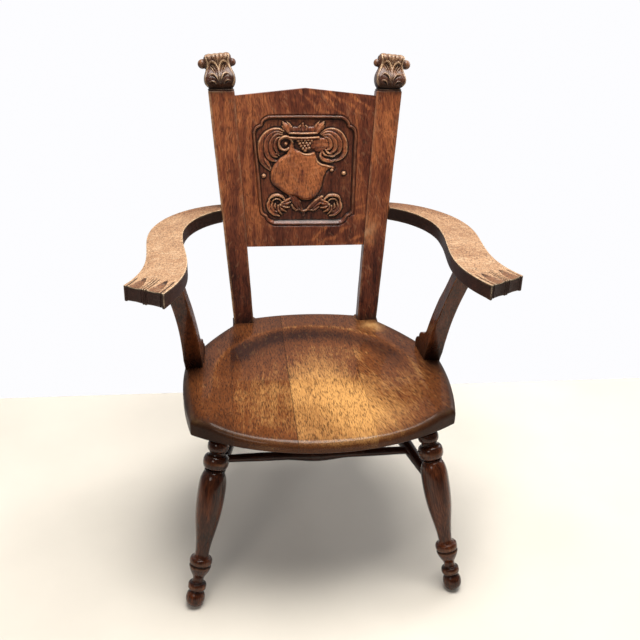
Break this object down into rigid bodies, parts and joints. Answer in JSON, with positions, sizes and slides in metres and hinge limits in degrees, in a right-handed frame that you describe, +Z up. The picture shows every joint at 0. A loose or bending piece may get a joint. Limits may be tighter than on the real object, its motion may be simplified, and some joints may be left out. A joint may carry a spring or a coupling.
{
  "type": "armchair",
  "caption": "Wooden armchair with a saddle seat, a raked back with a carved panel, open curved arms and splayed turned legs joined by stretchers.",
  "frame": {"origin": "on the floor under the middle of the chair's bounding box", "axes": "+Z up, the sitter looks along -Y, +X to the right as seen from the front"},
  "size_m": [0.777, 0.674, 1.0302],
  "materials": {
    "seat_oak": "dark brown stained quartersawn oak, satin",
    "seat_oak_gold": "brown stained quartersawn oak worn to gold, satin",
    "back_oak": "red-brown stained quartersawn oak, satin",
    "arm_oak": "brown stained oak, worn and bleached to tan on top, satin",
    "turned_oak": "very dark brown stained oak, semi-gloss",
    "dowel_wood": "bare beech",
    "glide": "pale beige, matt"
  },
  "bodies": {
    "root": {"seat_board_1": "seat_oak", "seat_board_2": "seat_oak", "seat_board_3": "seat_oak_gold", "seat_board_4": "seat_oak", "seat_dowels": "dowel_wood", "back_post_left": "back_oak", "back_post_right": "back_oak", "post_pegs": "dowel_wood", "back_panel": "back_oak", "panel_dowels": "dowel_wood", "finial_left": "turned_oak", "finial_right": "turned_oak", "finial_dowels": "dowel_wood", "arm_left": "arm_oak", "arm_right": "arm_oak", "arm_dowels": "dowel_wood", "arm_support_left": "turned_oak", "arm_support_right": "turned_oak", "front_leg_left": "turned_oak", "front_leg_right": "turned_oak", "rear_leg_left": "turned_oak", "rear_leg_right": "turned_oak", "side_stretcher_left": "turned_oak", "side_stretcher_right": "turned_oak", "cross_stretcher": "turned_oak", "foot_glides": "glide"}
  },
  "joints": []
}
